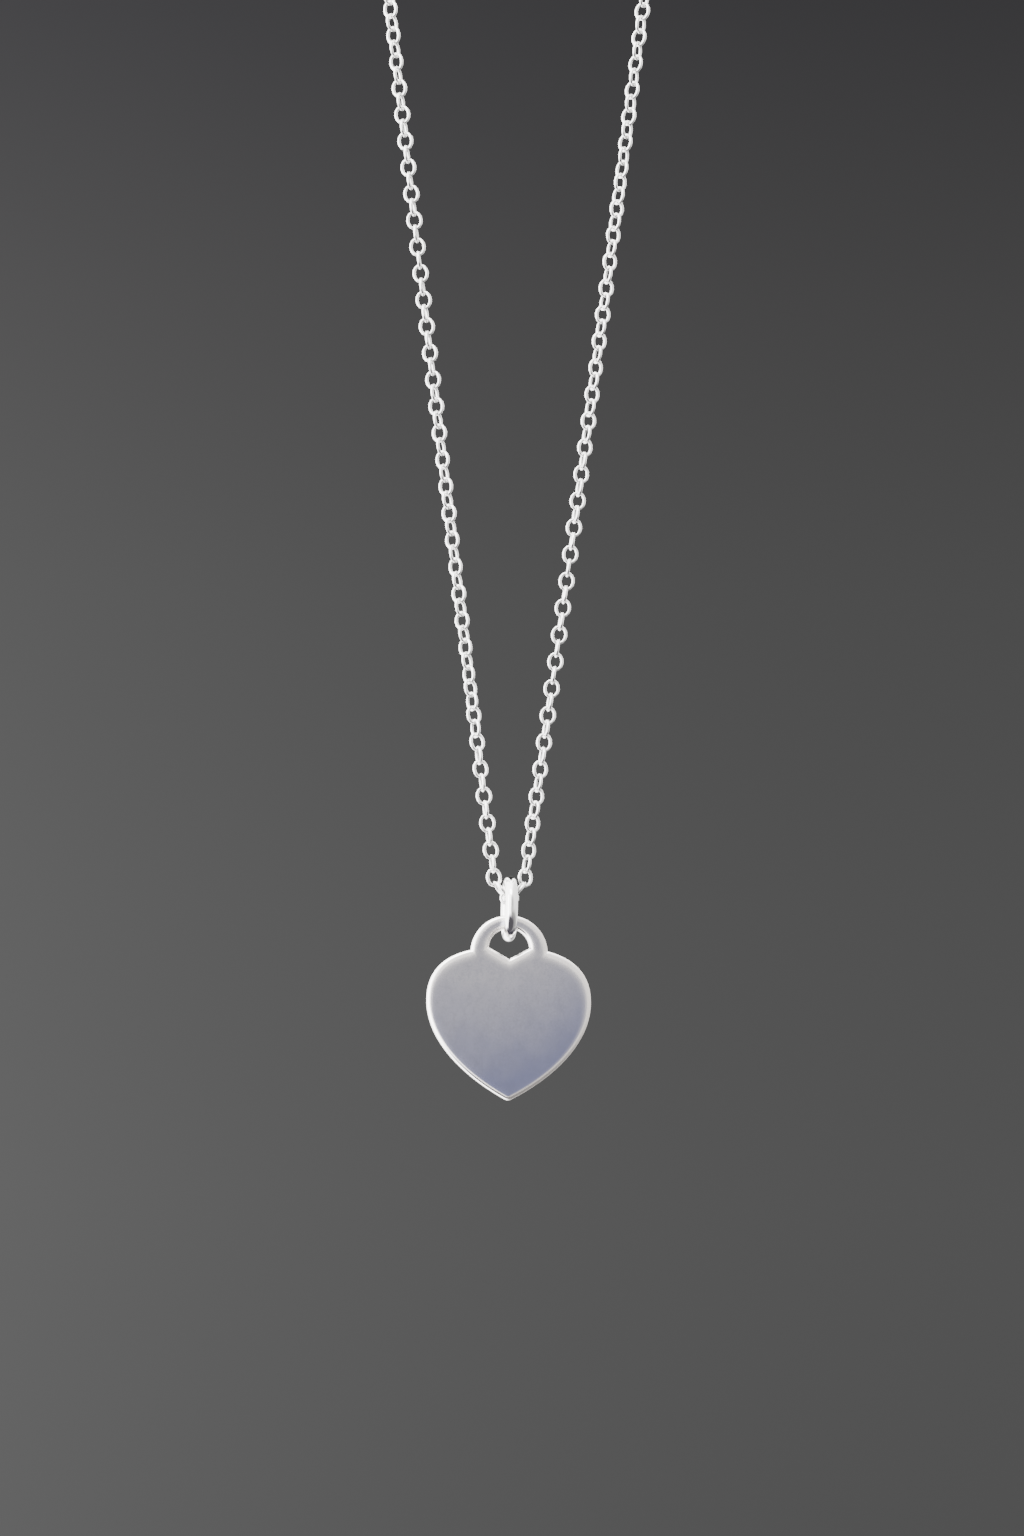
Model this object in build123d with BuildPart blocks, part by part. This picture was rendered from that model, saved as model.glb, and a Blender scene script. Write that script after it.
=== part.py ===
from build123d import *
from math import asin, cos, degrees, pi, radians, sin
import os

os.makedirs("parts", exist_ok=True)

# Heart pendant on a fine cable chain that hangs from the top of its loop.
# The origin is the middle of the clasp, at the top. +Z is up and the front faces -Y.
# Lengths are in millimetres and angles in degrees.

# Heart tag: a plate with an arched loop on top, heights taken from its widest line
heart_width = 20.0
tip_depth = 12.25
shoulder_height = 6.6
plate_thickness = 1.5
edge_rounding = 0.55
tip_rounding = 0.9
corner_rounding = 0.2
loop_diameter = 9.4
loop_height = 5.85
hole_diameter = 4.95
hole_height = 6.48
cleft_height = 5.15
shoulder_margin = 0.125

# Cable chain of oval round-wire links, and the length of the whole loop
link_length = 2.63
link_width = 2.07
link_wire = 0.40
link_gap = 0.14
necklace_length = 406.0

# Jump ring that carries the heart
ring_diameter = 8.0
ring_wire = 1.5

# Clasp: one plain oval of heavier wire at the top of the loop
clasp_length = 8.0
clasp_width = 4.2
clasp_wire = 0.9

# Hang of the parts: the gap left where two rest on each other, the turn of the
# pendant about the vertical, and how far the chain's sides lean outwards
seat_gap = 0.1
pendant_turn = 5.0
foot_overlap = 0.085
second_lean = 4.0
lean_above_foot = 7.6
lean_below_crown = 6.3

# Heart outline: each pull is a curve's handle as shares of half the width and of
# the tip's depth or the shoulder's height. The shoulder starts a margin outside the hole.
side_pull_down = (1.0, 0.445)
tip_pull = (0.468, 0.802)
side_pull_up = (1.0, 0.733)
shoulder_pull = (0.605, 0.935)

# Slow twist of each side of the chain: share of the way up, turn of the links.
# On top of it each link sits a little loose, a step further round a wave than the last.
left_twist = (
    (0.0, 8), (0.008, 20), (0.12, 8), (0.17, 45), (0.24, 58), (0.38, 62), (0.46, 86), (0.5, 80), (0.6, 62),
    (1.0, 90),
)
right_twist = (
    (0.0, 8), (0.008, 20), (0.08, 18), (0.17, 3), (0.28, 12), (0.38, 30), (0.5, 45), (0.6, 60), (1.0, 90),
)
loose_turn = 5.0
loose_step = 132.0


def oval(length, width, wire):
    """Closed oval of round wire in the XZ plane, long way up, centred at the origin."""
    bend = (width - wire) / 2
    reach = (length - width) / 2
    with BuildPart(mode=Mode.PRIVATE) as ring:
        with BuildLine(Plane.XZ) as path:
            Line((bend, -reach), (bend, reach))
            CenterArc((0, reach), bend, 0, 180)
            Line((-bend, reach), (-bend, -reach))
            CenterArc((0, -reach), bend, 180, 180)
        with BuildSketch(Plane.XY.offset(-reach)):
            with Locations((bend, 0)):
                Circle(wire / 2)
        sweep(path=path.line)
    return ring.part


# Links meet at joints, one pitch apart along the chain. Each side has an even number
# of links, so that the last one stands across the clasp as the first does the middle link.
# The clasp's wire keeps an equal gap to the last link and to the one before it.
pitch = link_length - 2 * link_wire - link_gap
clasp_gap = (link_length - 3 * link_wire - clasp_wire - link_gap) / 2
clasp_reach = clasp_length / 2 - clasp_wire - clasp_gap + link_gap / 2
links_per_side = 2 * round((necklace_length - 2 * clasp_reach - pitch) / 4 / pitch)

# Foot of the route, from the middle link's centre: two links that pass beside the ring's
# wire. The first swings about the centre of the middle link's bend and the second about
# the first one's tip, so both joints keep their gap.
bend_centre = (link_length - link_width) / 2
bend_swing = pitch / 2 - bend_centre
tip_swing = (link_gap + link_wire) / 2
past_ring = (ring_wire + link_width) / 2 - foot_overlap
first_lean = asin((past_ring - bend_centre) / (pitch + bend_swing))
route = []
foot_out = pitch / 2
foot_up = 0.0
last_lean = pi / 2
for lean, swing in ((first_lean, bend_swing), (radians(second_lean), -tip_swing)):
    foot_out += swing * (sin(lean) - sin(last_lean)) + pitch * sin(lean)
    foot_up += swing * (cos(lean) - cos(last_lean)) + pitch * cos(lean)
    route.append((foot_out - pitch * sin(lean) / 2, foot_up - pitch * cos(lean) / 2, lean))
    last_lean = lean

# Rest of the right side: up a side that leans less and less, then round the crown to the
# clasp. The crown's radius closes the loop.
foot_lean = radians(lean_above_foot)
crown_lean = radians(lean_below_crown)
side_bend = foot_lean - crown_lean
side_out = (cos(crown_lean) - cos(foot_lean)) / side_bend
side_up = (sin(foot_lean) - sin(crown_lean)) / side_bend
crown_turn = pi / 2 + crown_lean
run_length = (links_per_side - len(route)) * pitch
side_length = run_length - crown_turn * (foot_out - clasp_reach) / cos(crown_lean)
side_length = side_length / (1 + crown_turn * side_out / cos(crown_lean))
crown_radius = (foot_out + side_length * side_out - clasp_reach) / cos(crown_lean)
loop_drop = foot_up + side_length * side_up + crown_radius * (1 + sin(crown_lean))


def lean_at(distance):
    """Lean from the vertical, in radians, at a distance along the route above its foot."""
    if distance < side_length:
        return foot_lean - side_bend * distance / side_length
    return crown_lean - (distance - side_length) / crown_radius


def twist_at(table, share):
    """Turn read from a twist table, in a straight line between its rows."""
    for (low, low_turn), (high, high_turn) in zip(table, table[1:]):
        if share <= high:
            return low_turn + (high_turn - low_turn) * (share - low) / (high - low)
    return table[-1][1]


def side_places(table, side):
    """Places of one side's links, from the middle link up; side is 1 or -1."""
    places = []
    for number, (out, up, lean) in enumerate(route):
        loose = loose_turn * sin(radians(loose_step * number))
        turn = twist_at(table, number / links_per_side) + loose
        if number % 2 == 0:
            turn += 90
        places.append(Location((side * out, 0, up - loop_drop), (0, side * degrees(lean), turn)))
    return places


x = foot_out
up = foot_up
for number in range(links_per_side - len(route)):
    lean = lean_at((number + 0.5) * pitch)
    route.append((x + pitch * sin(lean) / 2, up + pitch * cos(lean) / 2, lean))
    x += pitch * sin(lean)
    up += pitch * cos(lean)


# Chain: the middle link lies level through the jump ring, face to the front
link = oval(link_length, link_width, link_wire)
middle_link = Location((0, 0, -loop_drop), (0, 90, 0))
with BuildPart() as chain:
    with Locations(middle_link, *side_places(right_twist, 1), *side_places(left_twist, -1)):
        add(link, mode=Mode.REPLACE)
chain.part.label = "chain"
export_step(chain.part, "parts/chain.step")

# Clasp: lies level at the top, its flat side to the front
with BuildPart() as clasp:
    with Locations(Location((0, 0, 0), (0, 90, 0))):
        add(oval(clasp_length, clasp_width, clasp_wire))
clasp.part.label = "clasp"
export_step(clasp.part, "parts/clasp.step")

# Jump ring: stands edge on, round the upper limb of the middle link
across = Vector(cos(radians(pendant_turn)), sin(radians(pendant_turn)), 0)
forward = Vector(sin(radians(pendant_turn)), -cos(radians(pendant_turn)), 0)
ring_radius = (ring_diameter - ring_wire) / 2
swing_height = (link_width - link_wire) / 2 - loop_drop
ring_top = swing_height + link_wire / 2 + seat_gap + ring_wire / 2
ring_height = ring_top - ring_radius
with BuildPart() as jump_ring:
    with BuildSketch(Plane(origin=(0, 0, ring_top), x_dir=across, z_dir=forward)):
        Circle(ring_wire / 2)
    revolve(axis=Axis((0, 0, ring_height), across))
jump_ring.part.label = "jump_ring"
export_step(jump_ring.part, "parts/jump_ring.step")

# Heart tag: hangs by its loop on the lowest point of the jump ring
half_width = heart_width / 2
ring_seat = ring_height - ring_radius + ring_wire / 2 + seat_gap
heart_height = ring_seat - hole_height - hole_diameter / 2
tip = (0, -tip_depth)
side_point = (half_width, 0)
shoulder_point = (hole_diameter / 2 + shoulder_margin, shoulder_height)
with BuildPart() as heart_tag:
    with BuildSketch(Plane(origin=(0, 0, heart_height), x_dir=across, z_dir=forward)) as face:
        with Locations((0, loop_height)):
            Circle(loop_diameter / 2)
        with Locations((0, hole_height)):
            Circle(hole_diameter / 2, mode=Mode.SUBTRACT)
        with BuildLine():
            Bezier(
                tip,
                (half_width * tip_pull[0], -tip_depth * tip_pull[1]),
                (half_width * side_pull_down[0], -tip_depth * side_pull_down[1]),
                side_point,
            )
            Bezier(
                side_point,
                (half_width * side_pull_up[0], shoulder_height * side_pull_up[1]),
                (half_width * shoulder_pull[0], shoulder_height * shoulder_pull[1]),
                shoulder_point,
            )
            Line(shoulder_point, (0, cleft_height))
            mirror(about=Plane.YZ)
        make_face()
        corners = face.vertices().sort_by(Axis.Y)
        fillet(corners[0], tip_rounding)
        fillet(corners[1:], corner_rounding)
    extrude(amount=plate_thickness / 2, both=True)
    rims = heart_tag.faces().sort_by(Axis((0, 0, heart_height), forward))
    fillet(rims[0].edges() + rims[-1].edges(), edge_rounding)
heart_tag.part.label = "heart_tag"
export_step(heart_tag.part, "parts/heart_tag.step")
sway_height = ring_height - ring_radius
print("links", 2 * links_per_side + 1, "pitch", pitch, "crown radius", crown_radius)
print("swing height", swing_height, "sway height", sway_height, "heart height", heart_height)
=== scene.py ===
import bmesh
import bpy
from math import asin, atan2, cos, pi, radians, sin, sqrt
from mathutils import Matrix, Vector
from mathutils.geometry import interpolate_bezier, intersect_line_sphere_2d
from mathutils.kdtree import KDTree


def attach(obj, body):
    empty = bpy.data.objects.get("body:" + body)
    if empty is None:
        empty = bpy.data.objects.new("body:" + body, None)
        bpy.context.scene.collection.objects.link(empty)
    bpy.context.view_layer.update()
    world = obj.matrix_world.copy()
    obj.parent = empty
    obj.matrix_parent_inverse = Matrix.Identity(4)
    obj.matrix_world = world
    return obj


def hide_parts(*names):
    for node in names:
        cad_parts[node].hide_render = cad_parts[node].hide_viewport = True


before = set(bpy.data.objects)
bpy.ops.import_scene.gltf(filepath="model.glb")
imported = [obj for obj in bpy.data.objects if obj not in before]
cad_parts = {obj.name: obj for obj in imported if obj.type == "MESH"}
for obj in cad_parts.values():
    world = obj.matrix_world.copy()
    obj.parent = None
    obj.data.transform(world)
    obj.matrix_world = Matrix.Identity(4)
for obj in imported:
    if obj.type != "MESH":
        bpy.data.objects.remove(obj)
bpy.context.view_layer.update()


# Cable chain: 237 small ovals of round silver wire, each soldered shut and hung in the
# next. It passes through the top of the jump ring, and its two sides twist a little as
# they rise to the clasp.
mm = 0.001
necklace_length = 406.0 * mm
link_length = 2.63 * mm
link_width = 2.07 * mm
link_wire = 0.40 * mm
link_gap = 0.14 * mm
foot_overlap = 0.085 * mm
second_lean = radians(4.0)
foot_lean = radians(7.6)
crown_lean = radians(6.3)
ring_wire = 1.5 * mm
clasp_length = 8.0 * mm
clasp_width = 4.2 * mm
clasp_wire = 0.9 * mm

# The link's length above sets the chain's pitch. The links themselves are a little shorter,
# and their wire is thinner at their ends.
shown_length = 2.43 * mm
limb_wire = 0.38 * mm
end_wire = 0.33 * mm
link_sides = 6
link_steps = 14

# Twist of each side: share of the way up, turn of the links in degrees. On top of it each
# link sits a little loose, a step further round a wave than the last.
left_twist = (
    (0.0, 8), (0.008, 18), (0.055, 5), (0.08, 18), (0.10, 28), (0.126, 42), (0.16, 56), (0.27, 58),
    (0.33, 73), (0.38, 80), (0.41, 84), (0.45, 76), (0.50, 71), (0.535, 54), (0.6, 50), (1.0, 90),
)
right_twist = (
    (0.0, 16), (0.01, 30), (0.045, 32), (0.08, 21), (0.13, 7), (0.205, 6), (0.266, 20), (0.32, 32),
    (0.385, 26), (0.43, 38), (0.452, 45), (0.47, 55), (0.54, 60), (0.6, 64), (1.0, 90),
)
loose_turn = 4.0
loose_step = 132.0


def finished(name, shape):
    """The mesh of a finished shape, which is then let go."""
    mesh = bpy.data.meshes.new(name)
    shape.to_mesh(mesh)
    shape.free()
    return mesh


def oval_of_wire(length, width, limb, end, sides, steps):
    """A closed oval in the XZ plane, long way up. Its wire is limb thick, but end thick at its ends."""
    # A wire of few sides is widened until its section is as large as a round one's
    full = sqrt(2 * pi / sides / sin(2 * pi / sides))
    half_out = (width - limb * full) / 2
    half_up = (length - end * full) / 2
    shape = bmesh.new()
    for step in range(steps):
        turn = 2 * pi * step / steps
        wire = end + (limb - end) * cos(turn) ** 2
        lean = atan2(half_out * sin(turn), half_up * cos(turn))
        middle = Matrix.Translation((half_out * cos(turn), 0, half_up * sin(turn)))
        section = middle @ Matrix.Rotation(-lean, 4, "Y")
        bmesh.ops.create_circle(shape, segments=sides, radius=full * wire / 2, matrix=section)
    bmesh.ops.bridge_loops(shape, edges=shape.edges[:], use_cyclic=True)
    bmesh.ops.recalc_face_normals(shape, faces=shape.faces)
    return finished("oval", shape)


def piece(name, mesh, body, node):
    """The finished object: smooth faces, riding on its body in place of its CAD node."""
    made = bpy.data.objects.new(name, mesh)
    bpy.context.collection.objects.link(made)
    mesh.shade_smooth()
    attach(made, body)
    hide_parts(node)
    return made


def twist_at(table, share):
    """Turn read from a twist table, in a straight line between its rows."""
    for (low, low_turn), (high, high_turn) in zip(table, table[1:]):
        if share <= high:
            return low_turn + (high_turn - low_turn) * (share - low) / (high - low)


# Each side has an even number of links. The clasp's wire keeps an equal gap to the last link
# and to the one before it.
pitch = link_length - 2 * link_wire - link_gap
clasp_gap = (link_length - 3 * link_wire - clasp_wire - link_gap) / 2
clasp_reach = clasp_length / 2 - clasp_wire - clasp_gap + link_gap / 2
links_per_side = 2 * round((necklace_length - 2 * clasp_reach - pitch) / 4 / pitch)

# Foot of the route: two links that pass beside the ring's wire. The first swings about the
# middle link's bend and the second about the first one's tip, so both keep their gap.
bend_centre = (link_length - link_width) / 2
bend_swing = pitch / 2 - bend_centre
tip_swing = (link_gap + link_wire) / 2
past_ring = (ring_wire + link_width) / 2 - foot_overlap
first_lean = asin((past_ring - bend_centre) / (pitch + bend_swing))
route = []
out = pitch / 2
up = 0.0
last_lean = pi / 2
for lean, swing in ((first_lean, bend_swing), (second_lean, -tip_swing)):
    out += swing * (sin(lean) - sin(last_lean)) + pitch * sin(lean)
    up += swing * (cos(lean) - cos(last_lean)) + pitch * cos(lean)
    route.append((out - pitch * sin(lean) / 2, up - pitch * cos(lean) / 2, lean))
    last_lean = lean

# Rest of the route: up a side that leans less and less, then round a crown to the clasp.
# The crown's radius closes the loop.
side_bend = foot_lean - crown_lean
side_out = (cos(crown_lean) - cos(foot_lean)) / side_bend
side_up = (sin(foot_lean) - sin(crown_lean)) / side_bend
crown_turn = pi / 2 + crown_lean
run_length = (links_per_side - len(route)) * pitch
side_length = run_length - crown_turn * (out - clasp_reach) / cos(crown_lean)
side_length = side_length / (1 + crown_turn * side_out / cos(crown_lean))
crown_radius = (out + side_length * side_out - clasp_reach) / cos(crown_lean)
loop_drop = up + side_length * side_up + crown_radius * (1 + sin(crown_lean))
for number in range(links_per_side - len(route)):
    distance = (number + 0.5) * pitch
    lean = foot_lean - side_bend * distance / side_length
    if distance > side_length:
        lean = crown_lean - (distance - side_length) / crown_radius
    route.append((out + pitch * sin(lean) / 2, up + pitch * cos(lean) / 2, lean))
    out += pitch * sin(lean)
    up += pitch * cos(lean)

# The middle link lies level through the ring, and every second link is turned across the rest
places = [Matrix.Translation((0, 0, -loop_drop)) @ Matrix.Rotation(pi / 2, 4, "Y")]
for side, table in ((1, right_twist), (-1, left_twist)):
    for number, (out, up, lean) in enumerate(route):
        turn = twist_at(table, number / links_per_side) + loose_turn * sin(radians(loose_step * number))
        if number % 2 == 0:
            turn += 90
        leant = Matrix.Translation((side * out, 0, up - loop_drop)) @ Matrix.Rotation(side * lean, 4, "Y")
        places.append(leant @ Matrix.Rotation(radians(turn), 4, "Z"))
link = oval_of_wire(shown_length, link_width, limb_wire, end_wire, link_sides, link_steps)
links = bmesh.new()
for place in places:
    links.from_mesh(link)
    bmesh.ops.transform(links, matrix=place, verts=links.verts[-len(link.vertices):])
chain_mesh = finished("cable_chain", links)
chain = piece("cable_chain", chain_mesh, "necklace", "chain")


class Value:
    """A number or vector that varies over a surface: a node's output, whose operators add Math nodes."""

    def __init__(self, finish, socket):
        self.finish = finish
        self.socket = socket

    def math(self, operation, *others):
        """What a Math node makes of this value and the others."""
        sockets = dict(enumerate((self, *others)))
        return self.finish.node("ShaderNodeMath", {"operation": operation}, sockets)

    def __add__(self, other):
        return self.math("ADD", other)

    def __sub__(self, other):
        return self.math("SUBTRACT", other)

    def __rsub__(self, other):
        return (self * -1) + other

    def __mul__(self, other):
        return self.math("MULTIPLY", other)

    __radd__ = __add__
    __rmul__ = __mul__

    def __abs__(self):
        return self.math("ABSOLUTE")

    def limited(self):
        """The value held between 0 and 1."""
        return self.finish.node("ShaderNodeClamp", {}, {"Value": self})

    def between(self, start, end):
        """0 where the value is start and 1 where it is end, even between them and held beyond."""
        return ((self - start) * (1 / (end - start))).limited()

    def part(self, axis):
        """The X, Y or Z of a vector."""
        return self.finish.node("ShaderNodeSeparateXYZ", {}, {"Vector": self}, axis)


class Finish:
    """A node tree that is built up node by node, for a material or for the world."""

    def __init__(self, owner):
        owner.use_nodes = True
        self.tree = owner.node_tree
        self.tree.nodes.clear()

    def node(self, kind, settings, sockets, output=0):
        """One output of a new node: its settings are set first, then its sockets get values or links."""
        made = self.tree.nodes.new(kind)
        for name, setting in settings.items():
            if name == "stops":
                while len(made.color_ramp.elements) < len(setting):
                    made.color_ramp.elements.new(1.0)
                for element, (position, colour) in zip(made.color_ramp.elements, setting):
                    element.position = position
                    element.color = (*colour, 1)
            else:
                setattr(made, name, setting)
        for name, value in sockets.items():
            if isinstance(value, Value):
                self.tree.links.new(value.socket, made.inputs[name])
            else:
                made.inputs[name].default_value = value
        return Value(self, made.outputs[output]) if made.outputs else made

    def place(self):
        """The point on the surface, in metres."""
        return self.node("ShaderNodeTexCoord", {}, {}, "Object")

    def noise(self, size, detail, stretch=(1, 1, 1)):
        """Noise from 0 to 1 whose patches are about that size, in metres, times the stretch."""
        scale = tuple(1 / (size * longer) for longer in stretch)
        point = self.node("ShaderNodeMapping", {}, {"Vector": self.place(), "Scale": scale})
        return self.node("ShaderNodeTexNoise", {}, {"Vector": point, "Scale": 1.0, "Detail": detail}, "Fac")

    def colour(self, share, first, second):
        """The first colour where share is 0, the second where it is 1."""
        # A Mix node has its two colours at sockets 6 and 7 and the mixed one at output 2
        sockets = {"Factor": share}
        for number, shade in ((6, first), (7, second)):
            sockets[number] = shade if isinstance(shade, Value) else (*shade, 1)
        return self.node("ShaderNodeMix", {"data_type": "RGBA"}, sockets, 2)

    def surface(self, sockets):
        """Ends a material in one shader with these sockets."""
        shader = self.node("ShaderNodeBsdfPrincipled", {}, sockets)
        self.node("ShaderNodeOutputMaterial", {}, {"Surface": shader})


def silver(name, pale, grey, patch, roughness, tarnish_roughness, scratch, scratch_depth):
    """Polished silver: tarnish patches between two colours, uneven polish and fine handling scratches."""
    material = bpy.data.materials.new(name)
    finish = Finish(material)
    tarnish = finish.noise(patch, 3.0).between(0.35, 0.7667)
    handling = finish.noise(scratch, 3.0, (1, 1, 6)) + finish.noise(scratch * 2, 2.0, (5, 5, 1))
    bump = finish.node("ShaderNodeBump", {}, {"Strength": 1.0, "Distance": scratch_depth, "Height": handling})
    finish.surface({
        "Base Color": finish.colour(tarnish, pale, grey),
        "Metallic": 1.0,
        "Roughness": tarnish * tarnish_roughness + roughness,
        "Normal": bump,
    })
    return material


chain_silver = silver(
    "chain_silver", pale=(0.98, 0.975, 0.965), grey=(0.88, 0.88, 0.87), patch=3.1 * mm,
    roughness=0.16, tarnish_roughness=0.12, scratch=0.09 * mm, scratch_depth=0.0015 * mm,
)
chain.data.materials.append(chain_silver)


# Clasp: one plain oval of heavier silver wire at the top of the loop, lying level, with
# the last link of each side hung in its ends.
clasp_sides = 20
clasp_steps = 64
clasp_mesh = oval_of_wire(clasp_length, clasp_width, clasp_wire, clasp_wire, clasp_sides, clasp_steps)
clasp_mesh.transform(Matrix.Rotation(pi / 2, 4, "Y"))
clasp = piece("oval_clasp", clasp_mesh, "necklace", "clasp")
clasp_silver = silver(
    "clasp_silver", pale=(0.97, 0.965, 0.955), grey=(0.84, 0.84, 0.85), patch=2.3 * mm,
    roughness=0.12, tarnish_roughness=0.12, scratch=0.12 * mm, scratch_depth=0.0015 * mm,
)
clasp.data.materials.append(clasp_silver)


# Jump ring: a stout closed ring of polished round silver wire that stands edge on to the
# front. The chain's middle link lies through its top and the heart hangs from its foot.
ring_diameter = 8.0 * mm
seat_gap = 0.1 * mm
pendant_turn = radians(5.0)
ring_sides = 40
ring_steps = 120
ring_radius = (ring_diameter - ring_wire) / 2
ring_top = (link_width - link_wire) / 2 - loop_drop + link_wire / 2 + seat_gap + ring_wire / 2
ring_height = ring_top - ring_radius
ring_shape = bmesh.new()
section = Matrix.Translation((0, 0, ring_top)) @ Matrix.Rotation(pi / 2, 4, "X")
bmesh.ops.create_circle(ring_shape, segments=ring_sides, radius=ring_wire / 2, matrix=section)
bmesh.ops.spin(
    ring_shape, geom=ring_shape.verts[:] + ring_shape.edges[:], cent=(0, 0, ring_height), axis=(1, 0, 0),
    angle=2 * pi, steps=ring_steps, use_merge=True,
)
bmesh.ops.rotate(ring_shape, verts=ring_shape.verts, matrix=Matrix.Rotation(pendant_turn, 3, "Z"))
bmesh.ops.recalc_face_normals(ring_shape, faces=ring_shape.faces)
ring_mesh = finished("pendant_ring", ring_shape)
ring = piece("pendant_ring", ring_mesh, "ring", "jump_ring")
ring_silver = silver(
    "ring_silver", pale=(0.98, 0.975, 0.965), grey=(0.91, 0.91, 0.905), patch=2.6 * mm,
    roughness=0.07, tarnish_roughness=0.07, scratch=0.10 * mm, scratch_depth=0.0008 * mm,
)
ring.data.materials.append(ring_silver)


# Heart tag: a heart stamped from silver plate with an arched loop on top, whose hole ends
# below in a notch. Its rims are rounded over and polished, and its faces are brushed to a
# soft satin and buffed down a little near the rims. Its colours hold a painted reflection,
# grey to blue over the faces, and a painted highlight and painted shade on the rims.
half_width = 10.0 * mm
tip_depth = 12.25 * mm
shoulder_height = 6.6 * mm
shoulder_start = 2.6 * mm
plate_thickness = 1.5 * mm
tip_rounding = 0.955 * mm
loop_radius = 4.7 * mm
loop_height = 5.85 * mm
hole_radius = 2.475 * mm
hole_height = 6.48 * mm
notch_height = 5.15 * mm
heart_height = ring_height - ring_radius + ring_wire / 2 + seat_gap - hole_height - hole_radius

# Rim rounding: how far it goes in and up, and how far it turns. Then the low crown of the
# face, which is level further in than the crown's width.
rim_width = 0.42 * mm
rim_rise = 0.45 * mm
rim_turn = radians(81.0)
rim_steps = 8
crown_width = 1.3 * mm
crown_rise = 0.070 * mm
crown_power = 2.7

# Fineness of the outline and of the face
tip_steps = 8
flank_steps = 70
shoulder_steps = 60
loop_steps = 40
hole_steps = 24
notch_steps = 14
flank_space = 0.05 * mm
loop_space = 0.02 * mm
ledge_steps = 3
ledge_step = 0.13 * mm
cell = 0.4 * mm
weld = 0.001 * mm


def arc(centre, radius, first, last, steps):
    """Points of an arc from angle first to last."""
    turns = [first + (last - first) * step / steps for step in range(steps + 1)]
    return [Vector((centre[0] + radius * cos(turn), centre[1] + radius * sin(turn))) for turn in turns]


# Points of the outline from the middle of its widest line. A pull is the handle of a curve.
tip = Vector((0, -tip_depth))
tip_pull = Vector((0.468 * half_width, -0.802 * tip_depth))
side_pull_down = Vector((half_width, -0.445 * tip_depth))
widest = Vector((half_width, 0))
side_pull_up = Vector((half_width, 0.733 * shoulder_height))
shoulder_pull = Vector((0.605 * half_width, 0.935 * shoulder_height))
shoulder = Vector((shoulder_start, shoulder_height))
loop = Vector((0, loop_height))
hole = Vector((0, hole_height))
notch = Vector((0, notch_height))

# The right half of the outline: from the tip up and round the loop, then down round the hole
rise = atan2(tip_pull.y - tip.y, tip_pull.x)
tip_centre = tip + Vector((0, tip_rounding / cos(rise)))
outline = arc(tip_centre, tip_rounding, -pi / 2, rise - pi / 2, tip_steps)
flank = interpolate_bezier(tip, tip_pull, side_pull_down, widest, flank_steps)
outline += [point for point in flank if point.x > outline[-1].x + flank_space]
outline += interpolate_bezier(widest, side_pull_up, shoulder_pull, shoulder, shoulder_steps)[1:]
outline = [point for point in outline if (point - loop).length > loop_radius + loop_space]
loop_foot = outline[-1] - loop
outline += arc(loop, loop_radius, atan2(loop_foot.y, loop_foot.x), pi / 2, loop_steps)
crossings = intersect_line_sphere_2d(notch, shoulder, hole, hole_radius, False)
hole_corner = max(crossings, key=lambda point: point.x)
corner_turn = atan2(hole_corner.y - hole.y, hole_corner.x - hole.x)
outline += arc(hole, hole_radius, pi / 2, corner_turn, hole_steps)
outline += [hole_corner.lerp(notch, step / notch_steps) for step in range(1, notch_steps + 1)]

# The half is mirrored and grown to a plate as thick as the wall that its rims leave
plate = bmesh.new()
half_wall = plate_thickness / 2 - crown_rise - rim_rise * sin(rim_turn)
plate.faces.new([plate.verts.new((point.x, half_wall, point.y)) for point in outline])
bmesh.ops.mirror(plate, geom=plate.verts[:] + plate.edges[:] + plate.faces[:], axis="X", merge_dist=weld)
bmesh.ops.recalc_face_normals(plate, faces=plate.faces)
grown = bmesh.ops.extrude_face_region(plate, geom=plate.faces[:])["geom"]
front = [part for part in grown if isinstance(part, bmesh.types.BMVert)]
bmesh.ops.translate(plate, verts=front, vec=(0, -2 * half_wall, 0))
bmesh.ops.recalc_face_normals(plate, faces=plate.faces)

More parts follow.
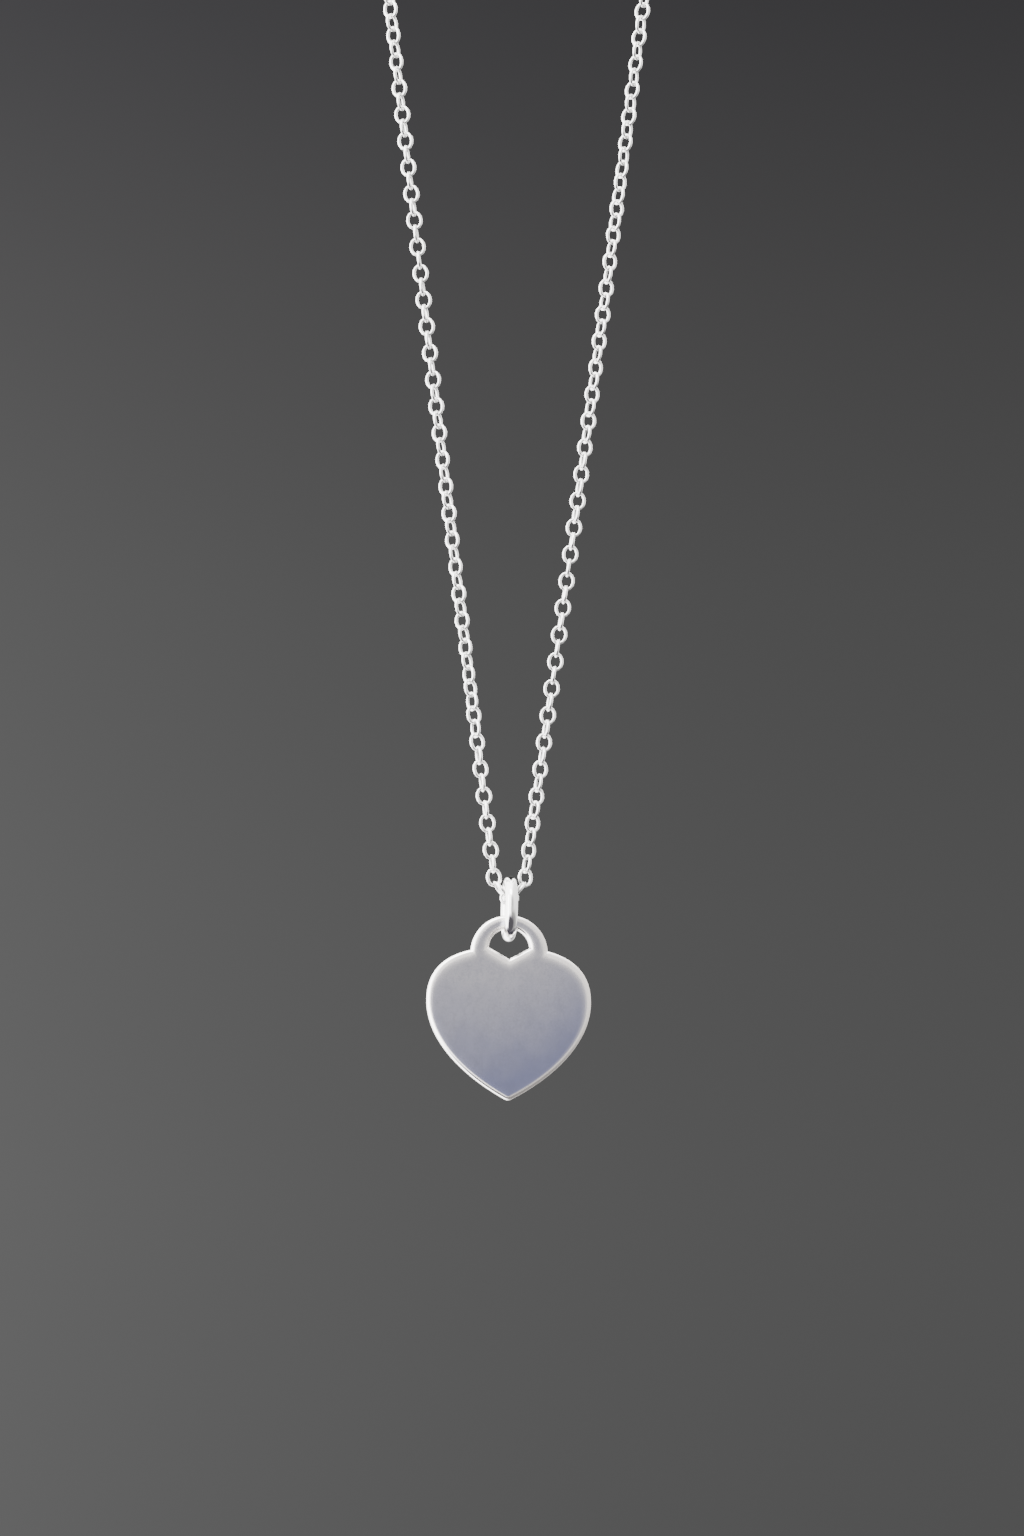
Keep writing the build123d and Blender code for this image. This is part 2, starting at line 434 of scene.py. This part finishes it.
# On each side the rim is rounded over. Inside a narrow ledge the face is cut into small
# squares, with no cut down the middle, where the halves meet, and then raised to its crown.
edge = KDTree(2 * len(outline))
for number, point in enumerate(outline):
    edge.insert((point.x, 0, point.y), 2 * number)
    edge.insert((-point.x, 0, point.y), 2 * number + 1)
edge.balance()
columns = round(half_width / cell)
rows_down = round(tip_depth / cell)
rows_up = round((loop_height + loop_radius) / cell)
cuts = [((number * cell, 0, 0), (1, 0, 0)) for number in range(-columns, columns + 1) if number != 0]
cuts += [((0, 0, number * cell), (0, 0, 1)) for number in range(-rows_down, rows_up + 1)]
for direction in (-1, 1):
    panel = [face for face in plate.faces if face.normal.y * direction > 0.9]
    for step in range(rim_steps):
        turn = rim_turn * step / rim_steps
        next_turn = rim_turn * (step + 1) / rim_steps
        inward = rim_width * (cos(turn) - cos(next_turn))
        raised = rim_rise * (sin(next_turn) - sin(turn))
        bmesh.ops.inset_region(plate, faces=panel, thickness=inward, depth=raised, use_even_offset=True)
    for step in range(ledge_steps):
        bmesh.ops.inset_region(plate, faces=panel, thickness=ledge_step, depth=0, use_even_offset=True)
    ledge = {vert for face in plate.faces if face.normal.y * direction > 0.999 for vert in face.verts}
    for middle, normal in cuts:
        parts = {part for face in panel for part in (face, *face.edges, *face.verts)}
        cut = bmesh.ops.bisect_plane(plate, geom=list(parts), dist=weld, plane_co=middle, plane_no=normal)
        panel = [part for part in cut["geom"] if isinstance(part, bmesh.types.BMFace)]
    for vert in ledge | {vert for face in panel for vert in face.verts}:
        inside = edge.find((vert.co.x, 0, vert.co.z))[2] - rim_width * (1 - cos(rim_turn))
        inside = max(0, min(1, inside / crown_width))
        vert.co.y += direction * crown_rise * (1 - (1 - inside) ** crown_power)
hang = Matrix.Translation((0, 0, heart_height)) @ Matrix.Rotation(pendant_turn, 4, "Z")
bmesh.ops.transform(plate, matrix=hang, verts=plate.verts)
heart_mesh = finished("heart_plate", plate)
heart = piece("heart_plate", heart_mesh, "heart", "heart_tag")

# Colours of the satin faces, which carry a painted reflection from grey to blue, and of the
# rims, in painted shade and painted highlight, and how deep the brush marks go
face_grey = (0.525, 0.515, 0.575)
face_blue = (0.225, 0.235, 0.375)
face_speck = (0.20, 0.20, 0.26)
rim_shaded = (0.70, 0.66, 0.635)
rim_lit = (0.98, 0.96, 0.94)
brush_depth = 0.0022 * mm

# The spot on the heart from the middle of its widest line, how level the surface is with
# the plate's faces, and how far it leans to the right
heart_silver = bpy.data.materials.new("heart_silver")
satin = Finish(heart_silver)
spot = satin.node("ShaderNodeMapping", {}, {"Vector": satin.place(), "Location": (0, 0, -heart_height)})
slope = satin.node("ShaderNodeTexCoord", {}, {}, "Normal")
level = abs(slope.part("X") * sin(pendant_turn) - slope.part("Y") * cos(pendant_turn))
rightward = slope.part("X") * cos(pendant_turn) + slope.part("Y") * sin(pendant_turn)

# The satin ends where the face slopes. The rims' painted light and shade reach further in on
# slopes that face up, most at the upper edges below the loop, and a little on those facing right
upward = slope.part("Z")
below_loop = spot.part("Z").between(7.2 * mm, 5.2 * mm)
lit_slope_bias = upward * 0.07 + upward.limited() * below_loop * 0.05 + rightward * 0.02
flat = (level - lit_slope_bias).between(0.987, 0.9995)

# Painted reflection: the faces are grey on top and to the left and bluer to the tip, to the
# right and out to both sides, so lighter down the middle, with darker specks
to_side = spot.part("X") * (1 / half_width)
to_tip = spot.part("Z") * (-1 / tip_depth)
reflection_blueness = to_tip * 0.894 + (to_side + to_side * to_side) * 0.22 + satin.noise(2.6 * mm, 3.0) * 0.34 + 0.09
clouds = (satin.noise(0.8 * mm, 4.0, (1, 1, 1.8)) - 0.42) * 0.45
specks = (satin.noise(0.25 * mm, 2.0) - 0.45) * 0.55
face_tint = satin.colour(reflection_blueness.limited(), face_grey, face_blue)
face_tint = satin.colour(flat * (clouds + specks).limited(), face_tint, face_speck)

# The rims have a painted highlight where they look up or to the left and painted shade
# elsewhere; they are also smoother there and rougher elsewhere
lit_and_polished = (upward.limited() * 1.1 - slope.part("X") * 1.3).between(-0.25, 0.4167)
rim_tint = satin.colour(lit_and_polished, rim_shaded, rim_lit)
dull_rim = (1 - flat) * (1 - lit_and_polished)

# Brush marks that run up and down, a fine grain and a few nicks
brushed = satin.noise(0.11 * mm, 2.0, (1, 1, 9))
grain = satin.noise(0.05 * mm, 2.0)
nicks = satin.noise(0.28 * mm, 1.0).between(0.77, 0.8811)
relief = brushed * 0.6 + grain * 0.4 - nicks * 1.5
bump = satin.node("ShaderNodeBump", {}, {"Strength": 1.0, "Distance": brush_depth, "Height": relief})
satin.surface({
    "Base Color": satin.colour(flat, rim_tint, face_tint),
    "Metallic": 1.0,
    "Roughness": satin.noise(1.7 * mm, 3.0) * 0.06 + brushed * 0.04 + dull_rim * 0.28 + 0.13,
    "Normal": bump,
})
heart.data.materials.append(heart_silver)


# Floor: a plain pale disc of card, well below the heart. The necklace hangs clear of it,
# and the silver doesn't mirror it.
floor_height = -0.80
floor_radius = 1.0
floor_sides = 96
floor_place = Matrix.Translation((0, 0, floor_height))
floor_shape = bmesh.new()
bmesh.ops.create_circle(
    floor_shape, cap_ends=True, segments=floor_sides, radius=floor_radius, matrix=floor_place,
)
floor_mesh = finished("studio_floor", floor_shape)
floor = bpy.data.objects.new("studio_floor", floor_mesh)
bpy.context.collection.objects.link(floor)
floor.visible_glossy = False
pale_card = bpy.data.materials.new("pale_card")
card = Finish(pale_card)
card_tint = card.colour(card.noise(4 * mm, 3.0), (0.24, 0.24, 0.24), (0.26, 0.26, 0.255))
card.surface({"Base Color": card_tint, "Roughness": 0.9})
floor_mesh.materials.append(pale_card)


# Studio: a grey backdrop behind the necklace, a little darker to the top and the right.
# The silver itself stands in a bright tent, brightest on the left. The tent is open to the
# front, where the satin face looks, and dark behind, above the back and underneath.
backdrop_foot = 0.114
backdrop_top = 0.268
backdrop_side = 0.052
backdrop_light = 0.94
wall_light = 1.9
left_light = 5.0
opening_light = 0.95
behind_light = 0.46
overhead_light = 0.05
underneath_light = 0.12
tent_white = (1.0, 0.99, 0.975)
tent_shade = (0.93, 0.88, 1.0)
world = bpy.data.worlds.new("studio")
bpy.context.scene.world = world
studio = Finish(world)
direction = studio.node("ShaderNodeTexCoord", {}, {}, "Generated")
right = direction.part("X")
depth = direction.part("Y")
rising = direction.part("Z")


def along(x, y, z):
    """How far the direction points along x, y, z."""
    return right * x + depth * y + rising * z


# Greys of the backdrop from its foot to its top, and its brighter left
backdrop = studio.node("ShaderNodeValToRGB", {"stops": (
    (0.0, (0.094, 0.094, 0.094)),
    (0.22, (0.097, 0.097, 0.097)),
    (0.41, (0.092, 0.092, 0.092)),
    (0.61, (0.083, 0.083, 0.083)),
    (0.80, (0.069, 0.068, 0.069)),
    (1.0, (0.049, 0.048, 0.051)),
)}, {0: rising.between(backdrop_foot, backdrop_top)})
leftward = right.between(backdrop_side, -backdrop_side)
backdrop_glow = leftward * 0.12 + leftward * leftward * 0.31 + backdrop_light
seen = studio.node("ShaderNodeBackground", {}, {"Color": backdrop, "Strength": backdrop_glow})

# The tent's opening has a soft border, but a sharp one to the left, a little above level
frontward = along(0.17, -0.967, 0.19)
soft_opening = frontward.between(0.80, 1.0)
sharp_opening = frontward.between(0.938, 0.963)
sharp = (right + abs(rising - 0.19)).between(0.12, -0.08)
opening = soft_opening + (sharp_opening - soft_opening) * sharp

# Its dark parts, and its walls between them
behind = depth.between(0.90, 0.9833)
overhead = (along(0, 0.8, 0.6) - right * right * 3).between(0.78, 0.8514) * rising.between(0, 0.25)
off_middle = right - 0.15
broad = (off_middle * off_middle * 2).limited() * 0.2
underneath = (along(0, -0.38, -0.92) + broad).between(0.77, 0.9129)
low_right = rising.between(-0.05, -0.3833) * right.between(-0.15, 0.1833)
walls = wall_light + rising.limited() + along(-2.2, 0.5, 0.6).between(-0.55, 0.45) * left_light
walls = walls * (1 - low_right * 0.75) * (1 - opening) * (1 - behind) * (1 - overhead) * (1 - underneath)
dim = opening * opening_light + behind * behind_light
dim = dim + overhead * overhead_light + underneath * underneath_light
tent_tint = studio.colour(underneath, tent_white, tent_shade)
lit = studio.node("ShaderNodeBackground", {}, {"Color": tent_tint, "Strength": walls + dim})
looking = studio.node("ShaderNodeLightPath", {}, {}, "Is Camera Ray")
surface = studio.node("ShaderNodeMixShader", {}, {0: looking, 1: lit, 2: seen})
studio.node("ShaderNodeOutputWorld", {}, {"Surface": surface})


def softbox(name, place, width, height, power):
    """A soft oblong lamp at a place, turned to the pendant."""
    lamp = bpy.data.lights.new(name, "AREA")
    lamp.shape = "RECTANGLE"
    lamp.size = width
    lamp.size_y = height
    lamp.energy = power
    stand = bpy.data.objects.new(name, lamp)
    stand.location = place
    stand.rotation_mode = "QUATERNION"
    stand.rotation_quaternion = (Vector((0, 0, heart_height)) - Vector(place)).to_track_quat("-Z", "Y")
    stand.visible_camera = False
    bpy.context.collection.objects.link(stand)


softbox("left_lamp", (-0.8, -0.35, -0.1), width=0.3, height=0.9, power=4.0)
softbox("top_lamp", (-0.15, -0.5, 0.5), width=0.5, height=0.3, power=3.0)


# Camera: stands in front, a little below the pendant, and looks up at it. It is far enough
# away to show little perspective. The middle of its view is above the ring.
camera_rise = radians(11.0)
camera_roll = radians(0.45)
camera_distance = 1.2
view_height = 0.1871
view_right = 0.190 * mm
view_above_ring = 17.142 * mm
view_middle = Vector((view_right, 0, ring_height + view_above_ring / cos(camera_rise)))
lens = bpy.data.cameras.new("front_view")
lens.sensor_fit = "VERTICAL"
lens.sensor_height = 36.0
lens.lens = lens.sensor_height * camera_distance / view_height
lens.clip_start = 0.05
lens.clip_end = 10.0
camera = bpy.data.objects.new("front_view", lens)
camera.location = view_middle - camera_distance * Vector((0, cos(camera_rise), sin(camera_rise)))
camera.rotation_mode = "ZXY"
camera.rotation_euler = (pi / 2 + camera_rise, 0, camera_roll)
bpy.context.collection.objects.link(camera)
bpy.context.scene.camera = camera

bpy.context.view_layer.update()
